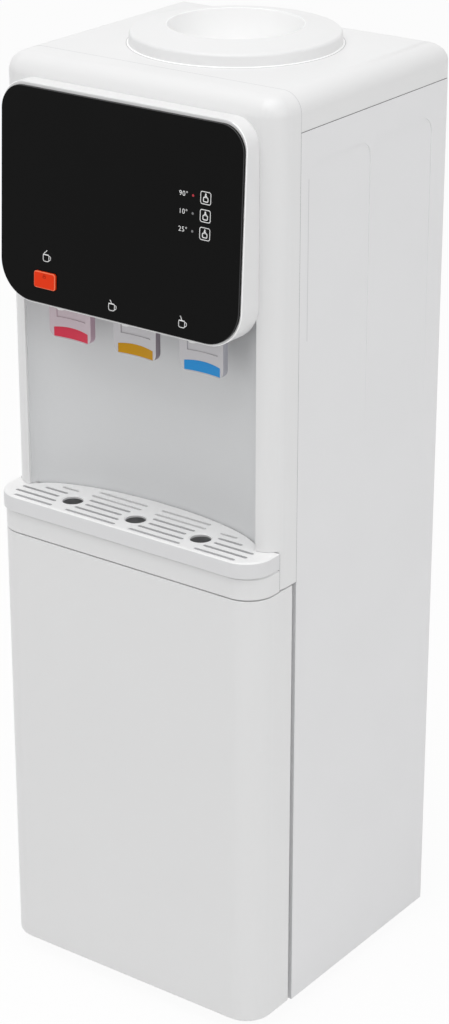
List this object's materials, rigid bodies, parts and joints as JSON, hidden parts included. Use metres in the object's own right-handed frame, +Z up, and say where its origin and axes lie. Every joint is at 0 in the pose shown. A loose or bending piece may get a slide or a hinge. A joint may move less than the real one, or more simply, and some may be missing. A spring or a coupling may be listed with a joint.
{
  "type": "floor standing water cooler with lower storage cabinet",
  "caption": "Floor-standing water cooler with a bottle seat on top, black tap panel, push-lever taps over a slide-out drip tray, and a storage cabinet door below.",
  "frame": {"origin": "on the floor under the middle of the bounding box", "axes": "+Z up, -Y to the front, +X to the viewer's right"},
  "size_m": [0.31, 0.33, 0.9505],
  "materials": {
    "painted_sheet": "white powder coat",
    "white_shell": "smooth gloss white",
    "grey_niche": "fine matte grey",
    "black_panel": "gloss black",
    "tray_plastic": "satin white",
    "liner_plastic": "satin white",
    "lever_plastic": "silver grey gloss",
    "label_red": "red",
    "label_amber": "amber",
    "label_blue": "blue",
    "button_orange": "orange",
    "black_plastic": "fine matte black",
    "valve_plastic": "satin white",
    "stainless": "brushed",
    "zinc_steel": "zinc plated",
    "black_steel": "black enamel",
    "copper_line": "bare copper",
    "silicone": "translucent silicone",
    "black_rubber": "moulded",
    "foam": "expanded foam",
    "board_green": "solder mask"
  },
  "bodies": {
    "cabinet_body": {"back_panel": "zinc_steel", "base_pan": "painted_sheet", "cold_tank": "stainless", "cold_tank_foam": "foam", "cold_tank_lid": "valve_plastic", "compressor": "black_steel", "compressor_mounts": "black_rubber", "condenser_brackets": "zinc_steel", "condenser_tube": "black_steel", "condenser_wires": "black_steel", "console_bezel": "white_shell", "door_catch": "black_plastic", "drain_hose": "silicone", "drain_spout": "black_plastic", "evaporator_coil": "copper_line", "face_plate": "black_panel", "feed_hose": "silicone", "feet": "black_rubber", "filter_drier": "copper_line", "front_shell": "white_shell", "hot_tank": "stainless", "hot_tank_jacket": "foam", "lower_hinge_bracket": "zinc_steel", "niche_panel": "grey_niche", "panel_screws": "zinc_steel", "refrigerant_lines": "copper_line", "side_panel_left": "painted_sheet", "side_panel_right": "painted_sheet", "status_board": "board_green", "storage_liner": "liner_plastic", "switch_plate": "black_plastic", "tank_frame": "zinc_steel", "tap_body_cold": "valve_plastic", "tap_body_hot": "valve_plastic", "tap_body_warm": "valve_plastic", "tap_hoses": "silicone", "tap_nuts": "valve_plastic", "top_cover": "white_shell", "upper_hinge_pin": "zinc_steel"},
    "bottle_seat_body": {"bottle_seat": "white_shell", "bottle_probe": "valve_plastic"},
    "door_body": {"door_panel": "white_shell", "door_liner": "liner_plastic", "door_strike": "zinc_steel"},
    "tray_body": {"drip_tray": "tray_plastic", "drip_grate": "tray_plastic"},
    "lever_hot_body": {"lever_hot": "lever_plastic", "lever_label_hot": "label_red"},
    "lever_warm_body": {"lever_warm": "lever_plastic", "lever_label_warm": "label_amber"},
    "lever_cold_body": {"lever_cold": "lever_plastic", "lever_label_cold": "label_blue"},
    "plunger_hot_body": {"valve_plunger_hot": "valve_plastic"},
    "plunger_warm_body": {"valve_plunger_warm": "valve_plastic"},
    "plunger_cold_body": {"valve_plunger_cold": "valve_plastic"},
    "child_lock_body": {"child_lock_button": "button_orange"},
    "heating_rocker_body": {"heating_rocker": "label_red"},
    "cooling_rocker_body": {"cooling_rocker": "lever_plastic"},
    "drain_cap_body": {"drain_cap": "black_plastic"}
  },
  "joints": [
    {"name": "bottle_seat_lift", "type": "slide", "parent": "cabinet_body", "child": "bottle_seat_body", "axis": [0, 0, 1], "range_m": [0, 0.12]},
    {"name": "door_hinge", "type": "hinge", "parent": "cabinet_body", "child": "door_body", "pos_m": [-0.146, -0.1115, 0.2425], "axis": [0, 0, -1], "range_deg": [0, 110]},
    {"name": "drip_tray_slide", "type": "slide", "parent": "cabinet_body", "child": "tray_body", "axis": [0, -1, 0], "range_m": [0, 0.09]},
    {"name": "lever_hot_hinge", "type": "hinge", "parent": "cabinet_body", "child": "lever_hot_body", "pos_m": [-0.076, -0.15, 0.757], "axis": [1, 0, 0], "range_deg": [0, 12], "stiffness_Nm_per_rad": 0.5, "springref_deg": -8.59},
    {"name": "lever_warm_hinge", "type": "hinge", "parent": "cabinet_body", "child": "lever_warm_body", "pos_m": [0, -0.15, 0.757], "axis": [1, 0, 0], "range_deg": [0, 12], "stiffness_Nm_per_rad": 0.5, "springref_deg": -8.59},
    {"name": "lever_cold_hinge", "type": "hinge", "parent": "cabinet_body", "child": "lever_cold_body", "pos_m": [0.076, -0.15, 0.757], "axis": [1, 0, 0], "range_deg": [0, 12], "stiffness_Nm_per_rad": 0.5, "springref_deg": -8.59},
    {"name": "plunger_hot_slide", "type": "slide", "parent": "cabinet_body", "child": "plunger_hot_body", "axis": [0, 0, 1], "range_m": [0, 0.00295]},
    {"name": "plunger_warm_slide", "type": "slide", "parent": "cabinet_body", "child": "plunger_warm_body", "axis": [0, 0, 1], "range_m": [0, 0.00295]},
    {"name": "plunger_cold_slide", "type": "slide", "parent": "cabinet_body", "child": "plunger_cold_body", "axis": [0, 0, 1], "range_m": [0, 0.00295]},
    {"name": "child_lock_press", "type": "slide", "parent": "cabinet_body", "child": "child_lock_body", "axis": [0, 0.9986, -0.0527], "range_m": [0, 0.002], "stiffness_N_per_m": 400},
    {"name": "heating_rocker_hinge", "type": "hinge", "parent": "cabinet_body", "child": "heating_rocker_body", "pos_m": [-0.054, 0.1383, 0.8435], "axis": [-1, 0, 0], "range_deg": [0, 16]},
    {"name": "cooling_rocker_hinge", "type": "hinge", "parent": "cabinet_body", "child": "cooling_rocker_body", "pos_m": [-0.073, 0.1383, 0.8435], "axis": [-1, 0, 0], "range_deg": [0, 16]},
    {"name": "drain_cap_pull", "type": "slide", "parent": "cabinet_body", "child": "drain_cap_body", "axis": [0, 1, 0], "range_m": [0, 0.02]}
  ],
  "couplings": [
    {"joint": "plunger_hot_slide", "follows": "lever_hot_hinge", "m_per_rad": 0.014},
    {"joint": "plunger_warm_slide", "follows": "lever_warm_hinge", "m_per_rad": 0.014},
    {"joint": "plunger_cold_slide", "follows": "lever_cold_hinge", "m_per_rad": 0.014}
  ]
}
